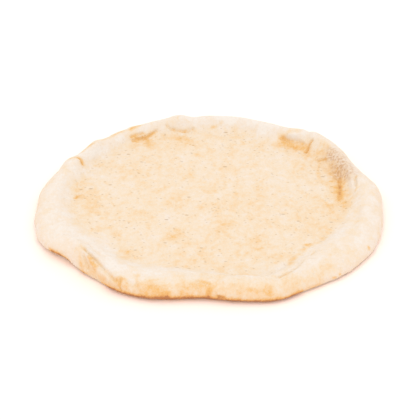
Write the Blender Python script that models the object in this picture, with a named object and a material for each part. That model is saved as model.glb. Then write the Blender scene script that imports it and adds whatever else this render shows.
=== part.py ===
"""A part-baked pizza base: one round of hand-stretched dough, with a thin middle and a thick, uneven rim.

The rim's section is worked out at each clock angle from a few sizes that swell and shrink round the base,
and blisters and folds are then raised on it. Clock angles are in degrees, anticlockwise seen from above: 0 is
right (+X), 90 is the back (+Y) and 270 is the front. "Inset" is how far in from the outer edge a point lies.
"Girth" is how far it is from the outer edge along the skin, over the top of the rim if positive and under it
if negative.
"""

import math

import bmesh
import bpy
import numpy as np

# Driving sizes, in metres.
EDGE_RADIUS = 0.1480
FLOOR_HEIGHT = 0.0070  # thickness of the thin middle
RIM_WIDTH = 0.034  # from the outer edge to the foot of the rim's inner slope
RIM_HEIGHT = 0.0155
CREST_INSET = 0.0145
EDGE_HEIGHT = 0.0034  # where the rim is widest, above the table
UNDER_WIDTH = 0.006  # how far in from the edge the base touches the table
FULLNESS = 2.0  # how square the rim's outer face is: 2 is a quarter of an ellipse

# What makes the rim uneven: (clock angle, half-width in degrees, amount) of each swell. The amounts are in
# metres, apart from those of the fullness.
EDGE_SWELLS = (
    (4, 7, 0.0015),
    (21, 10, -0.0045),
    (49, 8, 0.0035),
    (64, 8, -0.0025),
    (85, 10, 0.0025),
    (102, 5, 0.0020),
    (123, 4, -0.0010),
    (133, 4, -0.0020),
    (140, 24, -0.0050),
    (150, 6, -0.0025),
    (160, 6, -0.0012),
    (168, 16, -0.0020),
    (204, 11, 0.0040),
    (211, 4, 0.0012),
    (220, 8, -0.0040),
    (232, 7, -0.0020),
    (246, 11, 0.0036),
    (268, 9, -0.0052),
    (290, 8, 0.0050),
    (322, 26, 0.0060),
)
WIDTH_SWELLS = (
    (20, 18, -0.0080),
    (95, 55, -0.0100),
    (145, 16, -0.0080),
    (207, 14, 0.0130),
    (250, 14, 0.0110),
    (287, 9, -0.0060),
    (318, 16, 0.0170),
)
HEIGHT_SWELLS = (
    (44, 16, 0.0035),
    (56, 5, -0.0032),
    (97, 4, -0.0010),
    (230, 12, 0.0020),
    (264, 18, -0.0008),
    (318, 22, -0.0020),
)
CREST_SWELLS = (
    (70, 50, -0.0040),
    (135, 25, -0.0050),
    (222, 12, -0.0060),
    (258, 10, 0.0030),
    (322, 20, 0.0060),
)
LIFT_SWELLS = (
    (214, 8, 0.0040),
    (264, 24, 0.0018),
)
UNDER_SWELLS = (
    (214, 9, 0.0050),
)
FULLNESS_SWELLS = (
    (258, 24, 0.5),
    (322, 24, -0.2),
)

# Raised on the rim: (clock angle, girth, radius, height) of each round blister.
BLISTERS = (
    (155, 0.010, 0.009, 0.0022),
    (138, 0.008, 0.007, 0.0014),
    (121, 0.007, 0.006, 0.0010),
    (101, 0.010, 0.009, 0.0022),
    (55, 0.021, 0.008, 0.0018),
    (17, 0.022, 0.007, 0.0014),
    (242, 0.010, 0.006, 0.0015),
    (251, 0.012, 0.009, 0.0012),
    (277, 0.012, 0.010, 0.0012),
)
# (the (clock angle, girth) of each point on its line, half-width, height) of each fold. Some are pressed in.
FOLDS = (
    (((213, 0.016), (229, 0.0145), (241, 0.007)), 0.0042, 0.0024),
    (((50, 0.012), (48, 0.028)), 0.0040, -0.0016),
    (((294, 0.036), (330, 0.044)), 0.0045, -0.0010),
)

# How finely the solid is divided.
SPOKES = 200
FLOOR_STEPS = 5
SLOPE_STEPS = 8  # from the floor up to the crest
SHOULDER_STEPS = 6  # from the crest down to the outer edge
UNDER_STEPS = 4
MIDDLE_SHARE = 0.08  # the floor's first ring, as a share of its last

BAKED_DOUGH = (0.84, 0.67, 0.49, 1.0)
FLOURY_ROUGHNESS = 0.85


def round_the_edge(clock, usual, swells):
    """The usual size at each clock angle, plus every swell that reaches there."""
    total = np.full_like(clock, usual)
    for middle, half_width, amount in swells:
        gap = (clock - middle + 180) % 360 - 180
        total += amount * np.exp(-((gap / half_width) ** 2))
    return total


def ease(share):
    """From 0 to 1 with a level start and end."""
    return share * share * (3 - 2 * share)


def section(clock):
    """The plain skin: the reach and height of each ring, from the middle over the rim to the table."""
    edge = round_the_edge(clock, EDGE_RADIUS, EDGE_SWELLS)
    foot = edge - round_the_edge(clock, RIM_WIDTH, WIDTH_SWELLS)
    crest_inset = round_the_edge(clock, CREST_INSET, CREST_SWELLS)
    crest_height = round_the_edge(clock, RIM_HEIGHT, HEIGHT_SWELLS)
    edge_height = round_the_edge(clock, EDGE_HEIGHT, LIFT_SWELLS)
    under_width = round_the_edge(clock, UNDER_WIDTH, UNDER_SWELLS)
    power = 2 / round_the_edge(clock, FULLNESS, FULLNESS_SWELLS)
    crest = edge - crest_inset

    reach = []
    height = []
    for share in np.linspace(MIDDLE_SHARE, 1, FLOOR_STEPS + 1):
        reach.append(share * foot)
        height.append(np.full_like(clock, FLOOR_HEIGHT))
    for share in np.linspace(0, 1, SLOPE_STEPS + 1)[1:]:
        reach.append(foot + share * (crest - foot))
        height.append(FLOOR_HEIGHT + (crest_height - FLOOR_HEIGHT) * ease(share))
    for turn in np.linspace(math.pi / 2, 0, SHOULDER_STEPS + 1)[1:]:
        reach.append(crest + crest_inset * abs(math.cos(turn)) ** power)
        height.append(edge_height + (crest_height - edge_height) * math.sin(turn) ** power)
    for turn in np.linspace(0, math.pi / 2, UNDER_STEPS + 1)[1:]:
        reach.append(edge - under_width * (1 - math.cos(turn)))
        height.append(edge_height * (1 - math.sin(turn)))
    return np.array(reach), np.array(height)


def girths(reach, height):
    """How far each point of the skin is from the outer edge, along the skin."""
    steps = np.hypot(np.diff(reach, axis=0), np.diff(height, axis=0))
    along = np.vstack([np.zeros_like(reach[:1]), np.cumsum(steps, axis=0)])
    widest = FLOOR_STEPS + SLOPE_STEPS + SHOULDER_STEPS
    return along[widest] - along


def normals(reach, height):
    """Which way the skin faces at each point, outward and upward."""
    forward_reach = np.gradient(reach, axis=0)
    forward_height = np.gradient(height, axis=0)
    length = np.hypot(forward_reach, forward_height)
    return -forward_height / length, forward_reach / length


def nearness(clock, girth, line, half_width):
    """1 on a line of (clock angle, girth) points, falling away to its sides over the half-width."""
    first_clock = line[0][0]
    across = np.radians((clock - first_clock + 180) % 360 - 180) * EDGE_RADIUS
    corners = [(math.radians(angle - first_clock) * EDGE_RADIUS, offset) for angle, offset in line]
    gap = np.full_like(girth, np.inf)
    for (start, start_girth), (end, end_girth) in zip(corners, corners[1:]):
        run, rise = end - start, end_girth - start_girth
        share = ((across - start) * run + (girth - start_girth) * rise) / (run * run + rise * rise)
        share = np.clip(share, 0, 1)
        gap = np.minimum(gap, np.hypot(across - start - share * run, girth - start_girth - share * rise))
    return np.exp(-((gap / half_width) ** 2))


def relief(clock, girth):
    """How far blisters and folds raise the skin."""
    raised = np.zeros_like(girth)
    for middle, blister_girth, radius, amount in BLISTERS:
        across = np.radians((clock - middle + 180) % 360 - 180) * EDGE_RADIUS
        raised += amount * np.exp(-((across / radius) ** 2) - ((girth - blister_girth) / radius) ** 2)
    for line, half_width, amount in FOLDS:
        raised += amount * nearness(clock, girth, line, half_width)
    return raised


def base_mesh():
    """The whole base as one closed skin of rings, from the middle of the floor over the rim to the table."""
    clock = np.arange(SPOKES) * 360 / SPOKES
    reach, height = section(clock)
    facing_out, facing_up = normals(reach, height)
    raised = relief(clock, girths(reach, height))
    raised[-1] = 0  # the last ring lies on the table
    reach = reach + raised * facing_out
    height = height + raised * facing_up

    x = reach * np.cos(np.radians(clock))
    y = reach * np.sin(np.radians(clock))
    x -= (x.min() + x.max()) / 2
    y -= (y.min() + y.max()) / 2

    skin = bmesh.new()
    rings = []
    for ring in zip(x, y, height):
        rings.append([skin.verts.new(point) for point in zip(*ring)])
    for inner, outer in zip(rings, rings[1:]):
        for i in range(SPOKES):
            j = (i + 1) % SPOKES
            skin.faces.new((inner[i], outer[i], outer[j], inner[j]))
    skin.faces.new(rings[0])
    skin.faces.new(reversed(rings[-1]))
    mesh = bpy.data.meshes.new("pizza_base")
    skin.to_mesh(mesh)
    skin.free()
    mesh.shade_smooth()
    return mesh


def dough_material():
    """Pale baked dough, matt with flour."""
    material = bpy.data.materials.new("baked_dough")
    material.use_nodes = True
    shader = material.node_tree.nodes["Principled BSDF"]
    shader.inputs["Base Color"].default_value = BAKED_DOUGH
    shader.inputs["Roughness"].default_value = FLOURY_ROUGHNESS
    shader.inputs["Metallic"].default_value = 0.0
    return material


def main():
    for old in list(bpy.data.objects):
        bpy.data.objects.remove(old)
    base = bpy.data.objects.new("pizza_base", base_mesh())
    base.data.materials.append(dough_material())
    bpy.context.scene.collection.objects.link(base)


main()
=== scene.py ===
"""The looks of a part-baked pizza base: a finely modelled, floury, lightly toasted crust.

The crust repeats the solid's own sizes and adds what is too fine for it. Clock angles are in degrees,
anticlockwise seen from above: 0 is right (+X), 90 is the back (+Y) and 270 is the front. "Girth" is
how far a point is from the outer edge along the skin, over the top of the rim if positive and under
it if negative.
"""

import math

import bpy
import numpy as np
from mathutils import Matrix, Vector, noise


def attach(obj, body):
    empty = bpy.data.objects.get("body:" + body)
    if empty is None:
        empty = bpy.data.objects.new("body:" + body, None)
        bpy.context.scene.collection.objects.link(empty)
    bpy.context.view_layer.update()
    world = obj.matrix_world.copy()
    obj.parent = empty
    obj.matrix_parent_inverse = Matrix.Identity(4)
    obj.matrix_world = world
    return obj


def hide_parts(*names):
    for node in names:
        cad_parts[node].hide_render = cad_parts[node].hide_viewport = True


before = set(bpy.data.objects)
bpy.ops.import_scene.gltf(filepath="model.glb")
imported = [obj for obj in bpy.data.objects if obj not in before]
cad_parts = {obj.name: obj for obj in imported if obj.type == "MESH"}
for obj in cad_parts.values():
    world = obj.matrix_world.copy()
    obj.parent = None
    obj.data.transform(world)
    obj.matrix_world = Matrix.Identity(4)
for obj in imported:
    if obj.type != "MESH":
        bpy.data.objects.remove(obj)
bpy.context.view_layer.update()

# The solid's own driving sizes, in metres.
EDGE_RADIUS = 0.1480
FLOOR_HEIGHT = 0.0070  # thickness of the thin middle
RIM_WIDTH = 0.034  # from the outer edge to the foot of the rim's inner slope
RIM_HEIGHT = 0.0155
CREST_INSET = 0.0145
EDGE_HEIGHT = 0.0034  # where the rim is widest, above the table
UNDER_WIDTH = 0.006  # how far in from the edge the base touches the table
FULLNESS = 2.0  # how square the rim's outer face is: 2 is a quarter of an ellipse

# What makes the rim uneven: (clock angle, half-width in degrees, amount) of each swell. The amounts are
# in metres, apart from those of the fullness.
EDGE_SWELLS = (
    (4, 7, 0.0015),
    (21, 10, -0.0045),
    (49, 8, 0.0035),
    (64, 8, -0.0025),
    (85, 10, 0.0025),
    (102, 5, 0.0020),
    (123, 4, -0.0010),
    (133, 4, -0.0020),
    (140, 24, -0.0050),
    (150, 6, -0.0025),
    (160, 6, -0.0012),
    (168, 16, -0.0020),
    (204, 11, 0.0040),
    (211, 4, 0.0012),
    (220, 8, -0.0040),
    (232, 7, -0.0020),
    (246, 11, 0.0036),
    (268, 9, -0.0052),
    (290, 8, 0.0050),
    (322, 26, 0.0060),
)
WIDTH_SWELLS = (
    (20, 18, -0.0080),
    (95, 55, -0.0100),
    (145, 16, -0.0080),
    (207, 14, 0.0130),
    (250, 14, 0.0110),
    (287, 9, -0.0060),
    (318, 16, 0.0170),
)
HEIGHT_SWELLS = (
    (44, 16, 0.0035),
    (56, 5, -0.0032),
    (97, 4, -0.0010),
    (230, 12, 0.0020),
    (264, 18, -0.0008),
    (318, 22, -0.0020),
)
CREST_SWELLS = (
    (70, 50, -0.0040),
    (135, 25, -0.0050),
    (222, 12, -0.0060),
    (258, 10, 0.0030),
    (322, 20, 0.0060),
)
LIFT_SWELLS = (
    (214, 8, 0.0040),
    (264, 24, 0.0018),
)
UNDER_SWELLS = (
    (214, 9, 0.0050),
)
FULLNESS_SWELLS = (
    (258, 24, 0.5),
    (322, 24, -0.2),
)

# Raised on the rim: (clock angle, girth, radius, height) of each round blister.
BLISTERS = (
    (155, 0.010, 0.009, 0.0022),
    (138, 0.008, 0.007, 0.0014),
    (121, 0.007, 0.006, 0.0010),
    (101, 0.010, 0.009, 0.0022),
    (55, 0.021, 0.008, 0.0018),
    (17, 0.022, 0.007, 0.0014),
    (242, 0.010, 0.006, 0.0015),
    (251, 0.012, 0.009, 0.0012),
    (277, 0.012, 0.010, 0.0012),
)
# ((clock angle, girth) of each point on its line, half-width, height) of each fold. Some are pressed in.
FOLDS = (
    (((213, 0.016), (229, 0.0145), (241, 0.007)), 0.0042, 0.0024),
    (((50, 0.012), (48, 0.028)), 0.0040, -0.0016),
    (((294, 0.036), (330, 0.044)), 0.0045, -0.0010),
)

# What is too fine for the solid: creases and little ridges, as folds are given.
CREASES = (
    # The fold at the front left, drawn out like pulled dough.
    (((221.5, 0.0155), (227, 0.0155), (234, 0.0125), (242, 0.0075)), 0.0011, -0.0011),
    (((224, 0.0180), (230, 0.0165), (236, 0.0135), (242, 0.0095)), 0.0010, 0.0010),
    (((224, 0.0160), (230, 0.0145), (236, 0.0110)), 0.0010, -0.0011),
    (((231, 0.0113), (237, 0.0093), (241.5, 0.0070)), 0.0011, -0.0013),
    (((226, 0.0120), (228, 0.0077), (229, 0.0050)), 0.0016, -0.0018),
    (((228, 0.0134), (229.5, 0.0124), (232, 0.0087)), 0.0017, 0.0014),
    (((222, 0.0250), (232, 0.0215)), 0.0016, -0.0008),
    (((226, 0.0310), (236, 0.0240)), 0.0016, 0.0006),
    # The lumps beside it.
    (((243, 0.0090), (242.8, 0.0042), (243.2, 0.0011)), 0.0010, -0.0013),
    (((245.5, 0.0098), (247.5, 0.0078)), 0.0009, -0.0008),
    (((245, 0.0080), (247, 0.0062)), 0.0009, -0.0008),
    (((248, 0.0100), (248.8, 0.0060)), 0.0012, -0.0011),
    # Along the crest at the front.
    (((260, 0.0215), (264.5, 0.0195), (269, 0.0170), (275, 0.0130)), 0.0014, 0.0010),
    (((266, 0.0140), (270.5, 0.0105)), 0.0012, -0.0006),
    (((280, 0.0300), (284, 0.0230), (287, 0.0195), (291, 0.0150)), 0.0014, 0.0010),
    (((273, 0.0012), (275, 0.0005)), 0.0009, -0.0013),
    # The front right, where the rim meets the middle.
    (((293, 0.0183), (297.5, 0.0194), (301, 0.0218), (306, 0.0290)), 0.0013, -0.0014),
    (((310.5, 0.0318), (314, 0.0341)), 0.0011, -0.0011),
    (((349, 0.0288), (340, 0.0275), (332, 0.0236)), 0.0045, -0.0013),
    # The slit blister at the right.
    (((11.5, 0.0218), (10, 0.0251), (6.5, 0.0275)), 0.0012, -0.0014),
    (((10.5, 0.0218), (7.5, 0.0240), (3, 0.0297)), 0.0012, 0.0011),
    (((14, 0.0240), (4, 0.0330)), 0.0030, 0.0011),
    (((17.5, 0.0332), (13, 0.0376), (6, 0.0440), (0, 0.0460)), 0.0013, -0.0013),
    # The pinched corner at the right of the back.
    (((44.5, 0.0290), (44.8, 0.0335), (43.5, 0.0416)), 0.0013, -0.0018),
    (((57.5, 0.0275), (54, 0.0305), (48, 0.0349)), 0.0018, -0.0018),
    (((56, 0.0240), (52, 0.0262)), 0.0020, 0.0013),
    (((35.5, 0.0391), (32.5, 0.0339)), 0.0010, -0.0011),
    # The folds and bubbles of the back and left.
    (((124, 0.0287), (121.5, 0.0293), (117.8, 0.0312), (112, 0.0266)), 0.0014, -0.0014),
    (((124, 0.0251), (118, 0.0254)), 0.0014, -0.0011),
    (((122, 0.0270), (118, 0.0280)), 0.0014, 0.0010),
    (((107, 0.0240), (106, 0.0277), (103.8, 0.0300), (100, 0.0318), (96.5, 0.0284)), 0.0016, -0.0014),
    (((153, 0.0189), (153, 0.0214), (154, 0.0259)), 0.0016, -0.0016),
    (((179, 0.0403), (176, 0.0431)), 0.0013, -0.0010),
)

# The skin's small unevenness: (length, height) of each layer of noise, in metres.
RIM_NOISE = ((0.024, 0.0007), (0.011, 0.0005))
SKIN_NOISE = ((0.045, 0.0005), (0.0045, 0.00018), (0.0022, 0.00008))
NOISE_SHIFT = 5  # keeps the two apart
RESTING_HEIGHT = 0.003  # from here down the skin flattens towards the table
RIM_STARTS = 0.6  # the share of the inner slope over which the middle turns into the rim

# The skin's fineness: the floor is a square grid pulled round, and each of its edge points starts a
# spoke, of which the first is at the grid's corner.
FLOOR_CELLS = 220
SPOKES = 4 * FLOOR_CELLS
SPOKE_CLOCKS = np.arange(SPOKES + 1) * 360 / SPOKES
CORNER_CLOCK = 45
SLOPE_STEPS = 22
SHOULDER_STEPS = 22
UNDER_STEPS = 10
BOTTOM_SHARES = (0.7, 0.35)  # how large each ring of the underside is

# How baked the skin is, from floury white at 0 to scorched at 1. The same level also carries painted
# shade and painted light.
RIM_BAKE = 0.16
FLOOR_BAKE = 0.35
FRONT_FACE_BAKE = 0.30
UNDERSIDE_BAKE = 0.45
PAINTED_CREASE_SHADE = 0.15  # how much darker the bottoms of pressed-in creases are painted: painted shade
TOAST_DEPTH = 0.95  # how far the strongest toast marks take the dough towards scorched
GOLDEN_BAKE = 0.64  # above this the top's marks brown only a little more; the lip, with its painted contact shadow, goes fully dark
GOLDEN_ROOM = 0.18
# Where those zones are: clock angles in degrees, girths in metres.
FRONT_CLOCK = 255
FRONT_HALF_WIDTH = 34
FACE_GIRTH = 0.011  # the outer face is lower than this
FACE_BLUR = 0.0018
FACE_SHARE = 0.35  # of the front face's bake that the whole outer face has
FRONT_SHARE = 0.9  # of it that only the front has
LIP_GIRTH = 0.0005
UNDERSIDE_GIRTH = -0.006
UNDERSIDE_BLUR = 0.0015
# (points as a fold's, half-width, how much more baked) of each toasted line or spot on the rim.
RIM_TOAST = (
    # The bubbles and pinched edge of the left and back left.
    (((155.5, 0.0138), (154, 0.0155), (153, 0.0189)), 0.0016, 0.32),
    (((153, 0.0194), (152.8, 0.0214), (153.5, 0.0240)), 0.0026, 0.36),
    (((154, 0.0259), (155.8, 0.0253)), 0.0030, 0.18),
    (((160.5, 0.0154), (163, 0.0176)), 0.0030, 0.16),
    (((143.2, 0.0130), (141, 0.0149)), 0.0015, 0.32),
    (((138.8, 0.0174),), 0.0014, 0.22),
    (((130, 0.0156), (126.5, 0.0165)), 0.0012, 0.38),
    (((122.5, 0.0172), (117.5, 0.0158)), 0.0022, 0.50),
    (((148, 0.0135), (138, 0.0152), (130, 0.0164), (124, 0.0170)), 0.0016, 0.24),
    (((118, 0.0136),), 0.0015, 0.25),
    (((121.5, 0.0179), (119, 0.0187)), 0.0022, 0.16),
    (((179, 0.0403), (176, 0.0431)), 0.0013, 0.38),
    (((178.5, 0.0443),), 0.0060, 0.20),
    (((171.5, 0.0425), (180, 0.0532), (192, 0.0561)), 0.0110, 0.13),
    (((197.5, 0.0091), (201.5, 0.0096)), 0.0035, 0.12),
    (((167, 0.0351), (170, 0.0372)), 0.0009, 0.20),
    # The golden fold of the back left.
    (((124, 0.0287), (121.5, 0.0293), (117.8, 0.0312), (115.5, 0.0293), (112.2, 0.0266)), 0.0018, 0.28),
    (((117.8, 0.0312),), 0.0026, 0.14),
    (((123.8, 0.0251), (118.2, 0.0254)), 0.0016, 0.24),
    (((118.2, 0.0262),), 0.0013, 0.20),
    (((123.2, 0.0303), (121.8, 0.0326)), 0.0012, 0.25),
    (((124, 0.0290), (119, 0.0330), (119, 0.0420)), 0.0080, 0.26),
    (((122, 0.0275), (114, 0.0285)), 0.0040, 0.18),
    # The bubble and spots of the back.
    (((107, 0.0240), (106, 0.0277), (103.8, 0.0300)), 0.0022, 0.12),
    (((102, 0.0317), (100.8, 0.0322), (99.5, 0.0304)), 0.0020, 0.22),
    (((99, 0.0280), (97.2, 0.0261), (96.5, 0.0284)), 0.0019, 0.17),
    (((101.8, 0.0162), (102.2, 0.0185)), 0.0012, 0.40),
    (((99.2, 0.0192), (97.5, 0.0220)), 0.0009, 0.18),
    (((109.5, 0.0365), (104, 0.0438), (98, 0.0472)), 0.0060, 0.14),
    (((88.5, 0.0290), (87, 0.0294), (84.5, 0.0239)), 0.0019, 0.32),
    (((79.8, 0.0286), (77.8, 0.0268)), 0.0030, 0.10),
    (((70, 0.0226), (70, 0.0274)), 0.0022, 0.13),
    (((74.8, 0.0438), (72.2, 0.0525)), 0.0022, 0.12),
    # The pinched corner at the right of the back.
    (((57.8, 0.0275), (55.8, 0.0327), (51.5, 0.0389), (47.5, 0.0405)), 0.0046, 0.36),
    (((56, 0.0330), (50, 0.0400), (43, 0.0430)), 0.0090, 0.16),
    (((54.5, 0.0308), (47.8, 0.0349)), 0.0020, 0.18),
    (((56, 0.0213), (52.5, 0.0208)), 0.0030, 0.26),
    (((44.5, 0.0290), (44.8, 0.0335), (43.5, 0.0416)), 0.0009, 0.26),
    (((44.5, 0.0310), (43.8, 0.0398)), 0.0050, 0.18),
    (((47.2, 0.0364), (43.5, 0.0385)), 0.0026, 0.20),
    (((42, 0.0404), (39.8, 0.0475), (32.8, 0.0612)), 0.0022, 0.16),
    (((35.5, 0.0391), (32.5, 0.0339)), 0.0008, 0.26),
    (((33.5, 0.0310), (31.8, 0.0325)), 0.0026, 0.26),
    (((35.2, 0.0396), (30.2, 0.0442), (22, 0.0497)), 0.0020, 0.20),
    (((36, 0.0244), (33.2, 0.0247)), 0.0028, 0.18),
    # The scorched streak at the right.
    (((37, 0.0320), (30, 0.0300), (17, 0.0320)), 0.0110, 0.28),
    (((17.5, 0.0332), (13, 0.0376), (8.2, 0.0418)), 0.0017, 0.20),
    (((6.5, 0.0443), (0, 0.0463)), 0.0030, 0.28),
    (((15, 0.0350), (0, 0.0440)), 0.0080, 0.12),
    (((11, 0.0437), (1.5, 0.0477), (354.5, 0.0389)), 0.0045, 0.22),
    (((355, 0.0526), (349, 0.0525)), 0.0045, 0.20),
    (((355, 0.0580),), 0.0045, 0.15),
    (((16.2, 0.0433), (15, 0.0380)), 0.0011, 0.18),
    (((18.8, 0.0504), (12.2, 0.0470), (7, 0.0487)), 0.0050, 0.13),
    (((11.5, 0.0218), (10, 0.0251), (6.5, 0.0275)), 0.0010, 0.16),
    (((10.8, 0.0218), (7.8, 0.0240), (3, 0.0297)), 0.0010, 0.20),
    (((3.2, 0.0297),), 0.0011, 0.24),
    # Specks on the right and front right.
    (((329.2, 0.0051), (328.8, 0.0038)), 0.0015, 0.62),
    (((338, 0.0149),), 0.0016, 0.12),
    (((320.8, 0.0297),), 0.0013, 0.30),
    (((315.2, 0.0202),), 0.0013, 0.36),
    (((314.8, 0.0298),), 0.0022, 0.12),
    (((310.2, 0.0009), (311, 0.0004)), 0.0013, 0.62),
    (((312.8, 0.0014),), 0.0012, 0.45),
    (((344.5, 0.0029),), 0.0012, 0.15),
    # The golden band where the rim meets the middle at the front right.
    (((299, 0.0259), (304, 0.0402), (313, 0.0459), (317.5, 0.0500)), 0.0030, 0.24),
    (((317.5, 0.0490), (321.8, 0.0445), (334, 0.0462)), 0.0030, 0.22),
    (((301.2, 0.0325), (307, 0.0408)), 0.0030, 0.18),
    (((317, 0.0519), (317.2, 0.0469)), 0.0032, 0.20),
    (((334.2, 0.0591), (336.5, 0.0588)), 0.0030, 0.12),
    (((339.2, 0.0472), (341.8, 0.0464)), 0.0030, 0.10),
    (((293.2, 0.0183), (297.5, 0.0194), (300.8, 0.0218)), 0.0009, 0.20),
    (((310.5, 0.0318), (314, 0.0341)), 0.0009, 0.22),
    (((295, 0.0079), (300, 0.0027), (303.5, 0.0015)), 0.0070, 0.06),
    (((311.5, 0.0113), (313, 0.0072)), 0.0050, 0.12),
    # Spots low on the front.
    (((257.8, 0.0033), (257.5, 0.0012)), 0.0024, 0.34),
    (((256.2, 0.0033), (255.5, 0.0039)), 0.0026, 0.14),
    (((261.8, 0.0033), (262, 0.0012)), 0.0027, 0.32),
    (((270.5, 0.0048), (270.2, 0.0025)), 0.0025, 0.32),
    (((270.2, 0.0031),), 0.0050, 0.10),
    (((272.8, 0.0010), (274.8, 0.0017)), 0.0009, 0.22),
    (((274, -0.0005),), 0.0025, 0.32),
    (((283, 0.0080),), 0.0028, 0.24),
    (((284.5, 0.0061),), 0.0017, 0.20),
    (((288, 0.0043),), 0.0025, 0.28),
    (((285.8, 0.0026), (289.5, 0.0013)), 0.0040, 0.10),
    (((264.8, 0.0100), (269, 0.0087)), 0.0034, 0.10),
    (((264.5, -0.0006), (267.5, -0.0025)), 0.0045, 0.12),
    (((277.8, 0.0104),), 0.0013, 0.18),
    # The toasted lumps at the left of the front.
    (((251.5, 0.0084), (251, 0.0033)), 0.0034, 0.26),
    (((249.2, 0.0085),), 0.0020, 0.20),
    (((250, 0.0103), (252.5, 0.0070)), 0.0065, 0.14),
    (((251.5, 0.0128), (254, 0.0152)), 0.0013, 0.30),
    (((254.5, 0.0056),), 0.0015, 0.22),
    (((253.5, 0.0045), (255.5, 0.0020)), 0.0045, 0.08),
    (((246.5, 0.0168), (247, 0.0185)), 0.0018, 0.30),
    (((242, 0.0087), (242.5, 0.0099), (244.5, 0.0102)), 0.0015, 0.38),
    (((243, 0.0080), (242.8, 0.0042), (243.2, 0.0011)), 0.0014, 0.30),
    (((244, 0.0067), (245, 0.0048)), 0.0038, 0.16),
    (((247.5, 0.0159), (247.8, 0.0098), (248.5, 0.0075)), 0.0019, 0.24),
    # The outer face of the fold at the front left.
    (((238.8, 0.0020), (238.2, -0.0004)), 0.0018, 0.28),
    (((236.2, 0.0028), (240, 0.0011)), 0.0032, 0.15),
    (((228.2, 0.0134), (229.5, 0.0124), (232.2, 0.0087)), 0.0020, 0.30),
    (((229.5, 0.0130),), 0.0017, 0.22),
    (((224.5, 0.0083), (226, 0.0046)), 0.0025, 0.20),
    (((231, 0.0113), (232, 0.0080), (231.2, 0.0035)), 0.0032, 0.15),
    (((218.8, 0.0093), (223, 0.0101)), 0.0060, 0.10),
    (((232.5, 0.0051), (236.2, 0.0028)), 0.0028, 0.14),
    # Where the middle starts at the front left.
    (((235.5, 0.0335), (231.5, 0.0535)), 0.0070, 0.17),
    (((232.2, 0.0520),), 0.0022, 0.26),
    (((217.8, 0.0596), (226.8, 0.0521), (238.8, 0.0226)), 0.0018, 0.10),
    (((208, 0.0523), (209, 0.0622)), 0.0050, 0.12),
    # The browned lip under the raised edges, darkened further with painted contact shadow where the edge
    # lifts off the table.
    (((212, -0.0025), (219, -0.0035)), 0.0034, 0.95),
    (((225.5, -0.0020), (228.5, -0.0005)), 0.0014, 0.50),
    (((238, -0.0026), (250, -0.0034), (288, -0.0030), (298, -0.0022)), 0.0030, 0.95),
    (((236, -0.0006), (250, -0.0008), (290, -0.0008), (305, -0.0004)), 0.0016, 0.30),
    # Broad zones that are warmer all over.
    (((226, 0.0040), (250, 0.0050), (296, 0.0050)), 0.0060, 0.13),
    (((256, 0.0130), (292, 0.0120)), 0.0100, 0.13),
    (((258, 0.0200), (288, 0.0200)), 0.0090, 0.13),
    (((294, 0.0100), (320, 0.0140)), 0.0130, 0.13),
)
# Where the skin is freckled with scorch marks, as toasted lines are given.
SCORCH = (
    (((32, 0.0272), (27, 0.0237), (20, 0.0237), (15, 0.0255)), 0.0070, 1.0),
    (((26, 0.0284), (18.5, 0.0318)), 0.0060, 1.0),
)
# (x, y, radius, how much more baked) of each warm blur on the floor.
FLOOR_TOAST = (
    (-0.030, -0.061, 0.010, 0.18),
    (0.039, -0.067, 0.008, 0.18),
    (-0.005, -0.013, 0.009, 0.10),
    (-0.024, -0.005, 0.009, 0.10),
    (0.011, -0.041, 0.007, 0.11),
    (-0.012, -0.086, 0.014, 0.06),
    (-0.020, 0.112, 0.022, 0.03),
    (0.088, -0.020, 0.035, 0.04),
    (0.000, -0.085, 0.030, 0.04),
)
# Where flour whitens the skin, as toasted lines are given. Two of them are painted light instead: a
# painted highlight on the pinched corner and a paler lit band on the back rim.
FLOUR_AND_PAINTED_LIGHT = (
    (((215, 0.0290), (217, 0.0414), (226, 0.0395), (237, 0.0193), (240, 0.0160)), 0.0090, 0.12),
    (((245.2, 0.0101), (247.2, 0.0087)), 0.0030, 0.20),
    (((249.5, 0.0271), (254, 0.0248), (258, 0.0122), (258.8, 0.0078)), 0.0050, 0.13),
    (((262, 0.0168), (267, 0.0172), (272, 0.0152)), 0.0025, 0.10),
    (((280.8, 0.0300), (286.5, 0.0179), (290.5, 0.0127), (291, 0.0054)), 0.0035, 0.10),
    (((300.5, 0.0148), (307.2, 0.0208)), 0.0050, 0.10),
    (((324, 0.0329), (335, 0.0330)), 0.0060, 0.08),
    (((196.5, 0.0279), (213.2, 0.0151)), 0.0120, 0.05),
    (((146, 0.0203), (141, 0.0241), (136.5, 0.0283)), 0.0060, 0.10),
    (((134, 0.0192), (127, 0.0233)), 0.0040, 0.08),
    # A painted highlight on the pinched corner.
    (((55.5, 0.0254), (52.2, 0.0270)), 0.0018, 0.12),
    (((12, 0.0281), (7.5, 0.0323)), 0.0025, 0.15),
    # Painted light: the back rim's crest and inner slope made paler where the lamps leave them darker.
    (((62, 0.0180), (82, 0.0160), (100, 0.0180)), 0.0100, 0.12),
)

# Screen colours (0 to 255) of the dough at each bake level, and of what is in it and on it.
BAKED_COLOURS = (
    (0.00, (253, 242, 230)),
    (0.15, (252, 236, 219)),
    (0.35, (252, 230, 202)),
    (0.50, (252, 221, 182)),
    (0.62, (251, 211, 161)),
    (0.74, (250, 200, 132)),
    (0.88, (241, 180, 110)),
    # The darkest stop also colours the lip's painted contact shadow.
    (1.00, (205, 142, 94)),
)
BRAN_COLOUR = (190, 150, 104)
SCORCH_COLOUR = (212, 160, 112)
FLOUR_COLOUR = (252, 238, 224)

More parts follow.
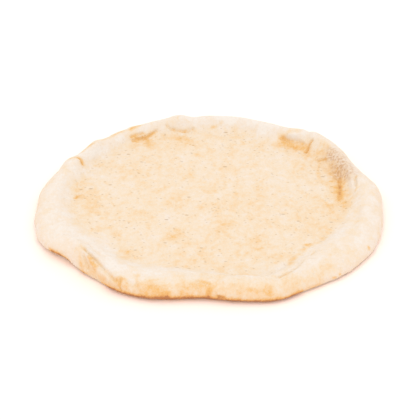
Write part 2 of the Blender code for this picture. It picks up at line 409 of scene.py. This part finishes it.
# The dough's finer looks: (size, layers, roughness) of each mottling, sizes in metres.
GRAIN = (0.016, 6, 0.9)
RAGGED = (0.0050, 4, 0.9)
FRECKLES = (0.0028, 3, 0.7)
DIMPLES = (0.0030, 3, 0.8)
DIMPLE_HEIGHT = 0.0010
DIMPLE_STRENGTH = 0.6
GRAIN_TURN = -8  # degrees; the way the dough was drawn out
GRAIN_STRETCH = 0.85
GRAIN_DEPTH = 1.4
RAGGED_FROM = 0.42  # bake level above which the mottling gets ragged
FRECKLE_RANGE = (-0.08, 0.10)
FRECKLE_DEPTH = 0.55
SCORCH_WASH = 0.20  # how tanned the dough is between the freckles
CRACKS = (0.0040, 0.0005)  # spacing and width
CRACK_RANGE = (0.35, 0.9)  # scorch levels over which they show
CRACK_DEPTH = 0.35
# (spacing, radius, share kept, depth) of the bran.
FINE_BRAN = (0.0018, 0.0006, 0.20, 0.45)
LARGE_BRAN = (0.0050, 0.0011, 0.12, 0.5)
BRAN_STRETCH = 1.8
SMALLEST_FLECK = 0.4  # of the radius
RIM_BRAN = 0.2  # how much of it shows on the rim
DOUGH_ROUGHNESS = 0.85
DOUGH_SPECULAR = 0.2

# The table.
TABLE_HALF_SIZE = 3.0
TABLE_DROP = 0.0003  # keeps it clear of the base's underside
TABLE_COLOUR = (0.99, 0.85, 0.78)
TABLE_ROUGHNESS = 0.9
TABLE_SPECULAR = 0.1

# The camera, as the base was seen: its height above the horizon, distance and lens.
CAMERA_ELEVATION = 31.0
CAMERA_DISTANCE = 1.2
CAMERA_LENS = 119.0
AIM_HEIGHT = -0.0044

# The light: (name, place, size, power) of each lamp.
LAMPS = (
    ("softbox", (-0.25, -0.1, 1.6), 1.6, 2),
    ("front_fill", (0, -1.5, 1.0), 1.0, 1.6),
)
WORLD_LIGHT = 1.27
STUDIO_LIGHT = 1.345  # what all the light together multiplies a base colour by


def round_the_edge(clock, usual, swells):
    """The usual size at each clock angle, plus every swell that reaches there."""
    total = np.full_like(clock, usual)
    for middle, half_width, amount in swells:
        gap = (clock - middle + 180) % 360 - 180
        total += amount * np.exp(-((gap / half_width) ** 2))
    return total


def ease(share):
    """From 0 to 1 with a level start and end."""
    return share * share * (3 - 2 * share)


def falling(values, middle, blur):
    """From 1 well below the middle to 0 well above it."""
    return 1 / (1 + np.exp((values - middle) / blur))


def rim_section(clock):
    """The plain rim: each ring's reach and height, from the floor's edge over the rim to the table."""
    edge = round_the_edge(clock, EDGE_RADIUS, EDGE_SWELLS)
    foot = edge - round_the_edge(clock, RIM_WIDTH, WIDTH_SWELLS)
    crest_inset = round_the_edge(clock, CREST_INSET, CREST_SWELLS)
    crest_height = round_the_edge(clock, RIM_HEIGHT, HEIGHT_SWELLS)
    edge_height = round_the_edge(clock, EDGE_HEIGHT, LIFT_SWELLS)
    under_width = round_the_edge(clock, UNDER_WIDTH, UNDER_SWELLS)
    power = 2 / round_the_edge(clock, FULLNESS, FULLNESS_SWELLS)
    crest = edge - crest_inset

    reach = [foot]
    height = [np.full_like(clock, FLOOR_HEIGHT)]
    for share in np.linspace(0, 1, SLOPE_STEPS + 1)[1:]:
        reach.append(foot + share * (crest - foot))
        height.append(FLOOR_HEIGHT + (crest_height - FLOOR_HEIGHT) * ease(share))
    for turn in np.linspace(math.pi / 2, 0, SHOULDER_STEPS + 1)[1:]:
        reach.append(crest + crest_inset * abs(math.cos(turn)) ** power)
        height.append(edge_height + (crest_height - edge_height) * math.sin(turn) ** power)
    for turn in np.linspace(0, math.pi / 2, UNDER_STEPS + 1)[1:]:
        reach.append(edge - under_width * (1 - math.cos(turn)))
        height.append(edge_height * (1 - math.sin(turn)))
    return np.array(reach), np.array(height)


def girths(reach, height):
    """How far each point of the rim is from the outer edge, along the skin."""
    steps = np.hypot(np.diff(reach, axis=0), np.diff(height, axis=0))
    along = np.vstack([np.zeros_like(reach[:1]), np.cumsum(steps, axis=0)])
    return along[SLOPE_STEPS + SHOULDER_STEPS] - along


def nearness(clock, girth, points, half_width):
    """1 on a line of (clock angle, girth) points, falling away over its half-width."""
    start_clock = points[0][0]
    across = np.radians((clock - start_clock + 180) % 360 - 180) * EDGE_RADIUS
    nearest = np.full_like(clock, np.inf)
    ends = [(math.radians((c - start_clock + 180) % 360 - 180) * EDGE_RADIUS, g) for c, g in points]
    for (x0, y0), (x1, y1) in zip(ends, ends[1:] or ends):
        run, rise = x1 - x0, y1 - y0
        length = max(run * run + rise * rise, 1e-12)
        share = np.clip(((across - x0) * run + (girth - y0) * rise) / length, 0, 1)
        nearest = np.minimum(nearest, np.hypot(across - x0 - share * run, girth - y0 - share * rise))
    return np.exp(-((nearest / half_width) ** 2))


class Skin:
    """Every vertex of the crust, with its place, clock angle and girth, and the faces between them."""

    def __init__(self):
        self.rim_clock = SPOKE_CLOCKS[:-1] - CORNER_CLOCK
        self.reach, self.height = rim_section(self.rim_clock)
        self.points = []
        self.clock = []
        self.girth = []
        self.faces = []
        self.count = 0

    def add(self, x, y, z, clock, girth):
        """Adds vertices and returns their numbers."""
        self.points.append(np.stack([x, y, z], -1).reshape(-1, 3))
        self.clock.append(np.ravel(clock))
        self.girth.append(np.ravel(girth))
        numbers = self.count + np.arange(len(self.points[-1]))
        self.count += len(numbers)
        return numbers

    def bridge(self, inner, outer):
        """Quads between two rings of the same length."""
        self.faces.append(np.stack([inner, outer, np.roll(outer, -1), np.roll(inner, -1)], -1))


def between_spokes(clock, values):
    """What each spoke has, at clock angles that may lie between the spokes."""
    return np.interp((clock + CORNER_CLOCK) % 360, SPOKE_CLOCKS, np.append(values, values[0]))


def add_floor(skin):
    """The thin middle: a square grid pulled out to the rim's foot. Returns its outer ring."""
    steps = np.linspace(-1, 1, FLOOR_CELLS + 1)
    a, b = np.meshgrid(steps, steps, indexing="ij")
    share = np.maximum(abs(a), abs(b))
    safe = np.maximum(share, 1e-9)
    clock = np.where(
        abs(a) >= abs(b),
        np.where(a > 0, CORNER_CLOCK * b / safe, 180 - CORNER_CLOCK * b / safe),
        np.where(b > 0, 90 - CORNER_CLOCK * a / safe, 270 + CORNER_CLOCK * a / safe),
    )
    foot = between_spokes(clock, skin.reach[0])
    foot_girth = between_spokes(clock, girths(skin.reach, skin.height)[0])
    radius = share * foot
    angle = np.radians(clock)
    numbers = skin.add(
        radius * np.cos(angle),
        radius * np.sin(angle),
        np.full_like(radius, FLOOR_HEIGHT),
        clock,
        foot_girth + foot - radius,
    ).reshape(a.shape)
    corners = [numbers[:-1, :-1], numbers[1:, :-1], numbers[1:, 1:], numbers[:-1, 1:]]
    skin.faces.append(np.stack([c.ravel() for c in corners], -1))
    sides = [numbers[-1, :-1], numbers[::-1, -1][:-1], numbers[0, ::-1][:-1], numbers[:-1, 0]]
    return np.concatenate(sides)


def add_rim(skin, ring):
    """The rim's rings, outward from the floor's and then under. Returns the one on the table."""
    girth = girths(skin.reach, skin.height)
    angle = np.radians(skin.rim_clock)
    for row in range(1, len(skin.reach)):
        x = skin.reach[row] * np.cos(angle)
        y = skin.reach[row] * np.sin(angle)
        outer = skin.add(x, y, skin.height[row], skin.rim_clock, girth[row])
        skin.bridge(ring, outer)
        ring = outer
    return ring


def add_bottom(skin, ring):
    """The flat underside, as rings closing on one middle point. Returns the middle's triangles."""
    angle = np.radians(skin.rim_clock)
    edge_girth = girths(skin.reach, skin.height)[-1]
    for share in BOTTOM_SHARES:
        radius = skin.reach[-1] * share
        girth = edge_girth - (skin.reach[-1] - radius)
        x = radius * np.cos(angle)
        y = radius * np.sin(angle)
        inner = skin.add(x, y, np.zeros(SPOKES), skin.rim_clock, girth)
        skin.bridge(ring, inner)
        ring = inner
    zero = np.zeros(1)
    middle = skin.add(zero, zero, zero, zero, zero - EDGE_RADIUS)
    return np.stack([np.roll(ring, -1), ring, np.full(SPOKES, middle[0])], -1)


def layered_noise(points, lengths_and_heights):
    """Smooth uneven bumps at several sizes, summed, for each point."""
    total = np.zeros(len(points))
    for length, height in lengths_and_heights:
        total += height * np.array([noise.noise(Vector(p)) for p in points / length])
    return total


def crust_relief(points, clock, girth, slope_share):
    """How far the skin stands out from the plain section at each vertex."""
    raised = np.zeros(len(points))
    for middle, blister_girth, radius, amount in BLISTERS:
        raised += amount * nearness(clock, girth, ((middle, blister_girth),), radius)
    for line, half_width, amount in FOLDS + CREASES:
        raised += amount * nearness(clock, girth, line, half_width)
    raised += slope_share * layered_noise(points, RIM_NOISE)
    raised += layered_noise(points + NOISE_SHIFT, SKIN_NOISE)
    return raised


def line_levels(clock, girth, lines):
    """The strongest of the marks that reach each vertex."""
    marks = [amount * nearness(clock, girth, line, half_width) for line, half_width, amount in lines]
    return np.max(marks, axis=0)


def bake_and_shading_levels(points, clock, girth, rim_share):
    """How baked each vertex is, with painted shade in the creases and on the lip and painted light on
    some floury marks, before the finer mottling of the material.
    """
    bake_and_shading = FLOOR_BAKE + (RIM_BAKE - FLOOR_BAKE) * rim_share
    front = np.exp(-(((clock % 360 - FRONT_CLOCK) / FRONT_HALF_WIDTH) ** 2))
    face = falling(girth, FACE_GIRTH, FACE_BLUR)
    bake_and_shading += (FRONT_FACE_BAKE - RIM_BAKE) * face * (FACE_SHARE + FRONT_SHARE * front)
    plain = np.ones(len(points))
    for line, half_width, amount in RIM_TOAST:
        plain *= 1 - amount * nearness(clock, girth, line, half_width)
    bake_and_shading += TOAST_DEPTH * (1 - plain)
    # Painted shade: the bottoms of the pressed-in creases are darkened.
    for line, half_width, amount in CREASES:
        bake_and_shading += PAINTED_CREASE_SHADE * (amount < 0) * nearness(clock, girth, line, half_width)
    for x, y, radius, amount in FLOOR_TOAST:
        gap = np.hypot(points[:, 0] - x, points[:, 1] - y)
        bake_and_shading += amount * np.exp(-((gap / radius) ** 2)) * (points[:, 2] > FLOOR_HEIGHT / 2)
    # Flour whitening, and painted light where a mark stands for a highlight or a lit slope.
    for line, half_width, amount in FLOUR_AND_PAINTED_LIGHT:
        bake_and_shading -= amount * nearness(clock, girth, line, half_width)
    over = np.maximum(bake_and_shading - GOLDEN_BAKE, 0) * (girth > LIP_GIRTH)
    bake_and_shading -= over - GOLDEN_ROOM * (1 - np.exp(-over / GOLDEN_ROOM))
    bake_and_shading += (UNDERSIDE_BAKE - bake_and_shading) * falling(girth, UNDERSIDE_GIRTH, UNDERSIDE_BLUR)
    return bake_and_shading


def rim_shares(count):
    """How much each of so many vertices belongs to the rim: 0 in the middle, 1 on the rim's top."""
    first = (FLOOR_CELLS + 1) ** 2
    rows = np.arange(1, SLOPE_STEPS + SHOULDER_STEPS + UNDER_STEPS + 1)
    shares = np.zeros(count)
    shares[first : first + len(rows) * SPOKES] = np.repeat(rows, SPOKES)
    return ease(np.clip(shares / (RIM_STARTS * SLOPE_STEPS), 0, 1))


def crust_mesh():
    """The whole crust as one closed mesh, with how baked each vertex is, its painted shade and light
    included.
    """
    skin = Skin()
    ring = add_floor(skin)
    ring = add_rim(skin, ring)
    middle_fan = add_bottom(skin, ring)
    points = np.concatenate(skin.points)
    points[:, :2] -= (points[:, :2].min(0) + points[:, :2].max(0)) / 2
    clock = np.concatenate(skin.clock)
    girth = np.concatenate(skin.girth)

    mesh = bpy.data.meshes.new("crust")
    quads = np.concatenate(skin.faces)
    mesh.from_pydata(points, [], [*quads.tolist(), *middle_fan.tolist()])
    mesh.update()
    normals = np.empty(len(points) * 3)
    mesh.vertices.foreach_get("normal", normals)
    normals = normals.reshape(-1, 3)

    rim_share = rim_shares(len(points))
    off_table = ease(np.clip(points[:, 2] / RESTING_HEIGHT, 0, 1))
    raised = crust_relief(points, clock, girth, rim_share) * off_table
    points = points + normals * raised[:, None]
    points[:, 2] = np.maximum(points[:, 2], 0)
    mesh.vertices.foreach_set("co", points.ravel())
    mesh.update()
    mesh.shade_smooth()

    levels = {
        "bake_and_shading": bake_and_shading_levels(points, clock, girth, rim_share),
        "scorch": line_levels(clock, girth, SCORCH),
        "floor": 1 - rim_share,
    }
    for name, values in levels.items():
        mesh.attributes.new(name, "FLOAT", "POINT").data.foreach_set("value", values)
    return mesh


def as_seen(red, green, blue):
    """The base colour that shows as this screen colour (0 to 255) in the studio's even light."""
    shares = (red / 255, green / 255, blue / 255)
    return tuple(((share + 0.055) / 1.055) ** 2.4 / STUDIO_LIGHT for share in shares)


class Wiring:
    """Adds nodes to one material and joins them up. Each call takes numbers or other nodes' outputs."""

    def __init__(self, material):
        material.use_nodes = True
        self.nodes = material.node_tree.nodes
        self.links = material.node_tree.links
        self.place = self.nodes.new("ShaderNodeTexCoord").outputs["Object"]

    def feed(self, socket, value):
        if isinstance(value, bpy.types.NodeSocket):
            self.links.new(value, socket)
        else:
            socket.default_value = value

    def level(self, name):
        """A level that the mesh carries at each vertex."""
        node = self.nodes.new("ShaderNodeAttribute")
        node.attribute_name = name
        return node.outputs["Fac"]

    def math(self, operation, *values):
        node = self.nodes.new("ShaderNodeMath")
        node.operation = operation
        for socket, value in zip(node.inputs, values):
            self.feed(socket, value)
        return node.outputs["Value"]

    def sum(self, first, *others):
        total = first
        for value in others:
            total = self.math("ADD", total, value)
        return total

    def step(self, value, start, end):
        """From 0 to 1 as the value goes from start to end."""
        node = self.nodes.new("ShaderNodeMapRange")
        node.interpolation_type = "SMOOTHSTEP"
        self.feed(node.inputs["Value"], value)
        self.feed(node.inputs["From Min"], start)
        self.feed(node.inputs["From Max"], end)
        return node.outputs["Result"]

    def stretched(self, turn, stretch):
        """The place in the object, turned about Z and drawn out along X."""
        node = self.nodes.new("ShaderNodeMapping")
        node.inputs["Rotation"].default_value = (0, 0, math.radians(turn))
        node.inputs["Scale"].default_value = (1 / stretch, 1, 1)
        self.links.new(self.place, node.inputs["Vector"])
        return node.outputs["Vector"]

    def mottle(self, size, layers, roughness, place=None):
        """Cloudy noise about 0, with blots of this size and finer layers over them."""
        node = self.nodes.new("ShaderNodeTexNoise")
        node.inputs["Scale"].default_value = 1 / size
        node.inputs["Detail"].default_value = layers - 1
        node.inputs["Roughness"].default_value = roughness
        self.links.new(place or self.place, node.inputs["Vector"])
        return self.math("SUBTRACT", node.outputs["Fac"], 0.5)

    def flecks(self, spacing, radius, share, depth):
        """The depth inside tiny specks about this far apart, of which only a share is kept."""
        node = self.nodes.new("ShaderNodeTexVoronoi")
        node.inputs["Scale"].default_value = 1 / spacing
        self.links.new(self.stretched(GRAIN_TURN, BRAN_STRETCH), node.inputs["Vector"])
        split = self.nodes.new("ShaderNodeSeparateColor")
        self.links.new(node.outputs["Color"], split.inputs["Color"])
        kept = self.math("LESS_THAN", split.outputs["Red"], share)
        reach = radius / spacing
        size = self.math("MULTIPLY_ADD", split.outputs["Green"], reach, SMALLEST_FLECK * reach)
        core = self.math("MULTIPLY", size, 0.5)
        inside = self.math("SUBTRACT", 1, self.step(node.outputs["Distance"], core, size))
        return self.math("MULTIPLY", self.math("MULTIPLY", inside, kept), depth)

    def cracks(self, spacing, width):
        """1 along the thin lines between cells of this size."""
        node = self.nodes.new("ShaderNodeTexVoronoi")
        node.feature = "DISTANCE_TO_EDGE"
        node.inputs["Scale"].default_value = 1 / spacing
        self.links.new(self.place, node.inputs["Vector"])
        return self.math("SUBTRACT", 1, self.step(node.outputs["Distance"], 0, width / spacing))

    def mix(self, share, first, second):
        node = self.nodes.new("ShaderNodeMix")
        node.data_type = "RGBA"
        self.feed(node.inputs["Factor"], share)
        self.feed(node.inputs["A"], first)
        self.feed(node.inputs["B"], second)
        return node.outputs["Result"]

    def ramp(self, value, stops):
        node = self.nodes.new("ShaderNodeValToRGB")
        elements = node.color_ramp.elements
        while len(elements) < len(stops):
            elements.new(0.5)
        for element, (position, colour) in zip(elements, stops):
            element.position = position
            element.color = (*colour, 1)
        self.links.new(value, node.inputs["Fac"])
        return node.outputs["Color"]


def crust_material():
    """Pale dough that turns from floury white through gold to brown as the bake level rises."""
    material = bpy.data.materials.new("baked_dough")
    wiring = Wiring(material)
    shader = wiring.nodes["Principled BSDF"]
    shader.inputs["Roughness"].default_value = DOUGH_ROUGHNESS
    shader.inputs["Specular IOR Level"].default_value = DOUGH_SPECULAR

    bake_and_shading = wiring.level("bake_and_shading")
    scorch = wiring.level("scorch")
    open_floor = wiring.level("floor")
    drawn_out = wiring.stretched(GRAIN_TURN, GRAIN_STRETCH)
    grain = wiring.math("MULTIPLY", wiring.mottle(*GRAIN, drawn_out), GRAIN_DEPTH)
    toasted = wiring.math("MAXIMUM", wiring.math("SUBTRACT", bake_and_shading, RAGGED_FROM), 0)
    ragged = wiring.math("MULTIPLY", wiring.mottle(*RAGGED), toasted)
    total = wiring.sum(bake_and_shading, grain, ragged)
    colour = wiring.ramp(total, [(level, as_seen(*seen)) for level, seen in BAKED_COLOURS])

    bran = wiring.math("MAXIMUM", wiring.flecks(*FINE_BRAN), wiring.flecks(*LARGE_BRAN))
    shown_bran = wiring.math("MULTIPLY_ADD", open_floor, 1 - RIM_BRAN, RIM_BRAN)
    bran = wiring.math("MULTIPLY", bran, shown_bran)
    colour = wiring.mix(bran, colour, (*as_seen(*BRAN_COLOUR), 1))

    freckles = wiring.step(wiring.mottle(*FRECKLES), *FRECKLE_RANGE)
    tan = wiring.math("MULTIPLY_ADD", freckles, FRECKLE_DEPTH, SCORCH_WASH)
    colour = wiring.mix(wiring.math("MULTIPLY", tan, scorch), colour, (*as_seen(*SCORCH_COLOUR), 1))
    cracks = wiring.math("MULTIPLY", wiring.cracks(*CRACKS), wiring.step(scorch, *CRACK_RANGE))
    cracks = wiring.math("MULTIPLY", cracks, CRACK_DEPTH)
    colour = wiring.mix(cracks, colour, (*as_seen(*FLOUR_COLOUR), 1))
    wiring.links.new(colour, shader.inputs["Base Color"])

    bump = wiring.nodes.new("ShaderNodeBump")
    bump.inputs["Strength"].default_value = DIMPLE_STRENGTH
    bump.inputs["Distance"].default_value = DIMPLE_HEIGHT
    wiring.links.new(wiring.mottle(*DIMPLES, drawn_out), bump.inputs["Height"])
    wiring.links.new(bump.outputs["Normal"], shader.inputs["Normal"])
    return material


def table_material():
    material = bpy.data.materials.new("white_floor")
    material.use_nodes = True
    shader = material.node_tree.nodes["Principled BSDF"]
    shader.inputs["Base Color"].default_value = (*TABLE_COLOUR, 1)
    shader.inputs["Roughness"].default_value = TABLE_ROUGHNESS
    shader.inputs["Specular IOR Level"].default_value = TABLE_SPECULAR
    return material


def add_crust():
    crust = bpy.data.objects.new("crust", crust_mesh())
    bpy.context.scene.collection.objects.link(crust)
    crust.data.materials.append(crust_material())
    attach(crust, "root")
    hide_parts("pizza_base")


def add_table():
    """The plain pale floor."""
    half = TABLE_HALF_SIZE
    sides = ((-half, -half), (half, -half), (half, half), (-half, half))
    corners = [(x, y, -TABLE_DROP) for x, y in sides]
    mesh = bpy.data.meshes.new("floor")
    mesh.from_pydata(corners, [], [(0, 1, 2, 3)])
    floor = bpy.data.objects.new("floor", mesh)
    floor.data.materials.append(table_material())
    bpy.context.scene.collection.objects.link(floor)


def add_light(name, place, size, power):
    """A soft square lamp that looks at the base."""
    lamp = bpy.data.lights.new(name, "AREA")
    lamp.size = size
    lamp.energy = power
    holder = bpy.data.objects.new(name, lamp)
    holder.location = place
    holder.rotation_euler = (-Vector(place)).to_track_quat("-Z", "Y").to_euler()
    bpy.context.scene.collection.objects.link(holder)


def add_lights():
    world = bpy.data.worlds.new("studio")
    world.use_nodes = True
    world.node_tree.nodes["Background"].inputs["Color"].default_value = (1, 1, 1, 1)
    world.node_tree.nodes["Background"].inputs["Strength"].default_value = WORLD_LIGHT
    bpy.context.scene.world = world
    for lamp in LAMPS:
        add_light(*lamp)


def add_camera():
    camera = bpy.data.cameras.new("camera")
    camera.lens = CAMERA_LENS
    holder = bpy.data.objects.new("camera", camera)
    tilt = math.radians(CAMERA_ELEVATION)
    away = Vector((0, -math.cos(tilt), math.sin(tilt)))
    holder.location = away * CAMERA_DISTANCE + Vector((0, 0, AIM_HEIGHT))
    holder.rotation_euler = (-away).to_track_quat("-Z", "Y").to_euler()
    bpy.context.scene.collection.objects.link(holder)
    bpy.context.scene.camera = holder
    bpy.context.scene.view_settings.view_transform = "Standard"


def main():
    add_crust()
    add_table()
    add_lights()
    add_camera()


main()
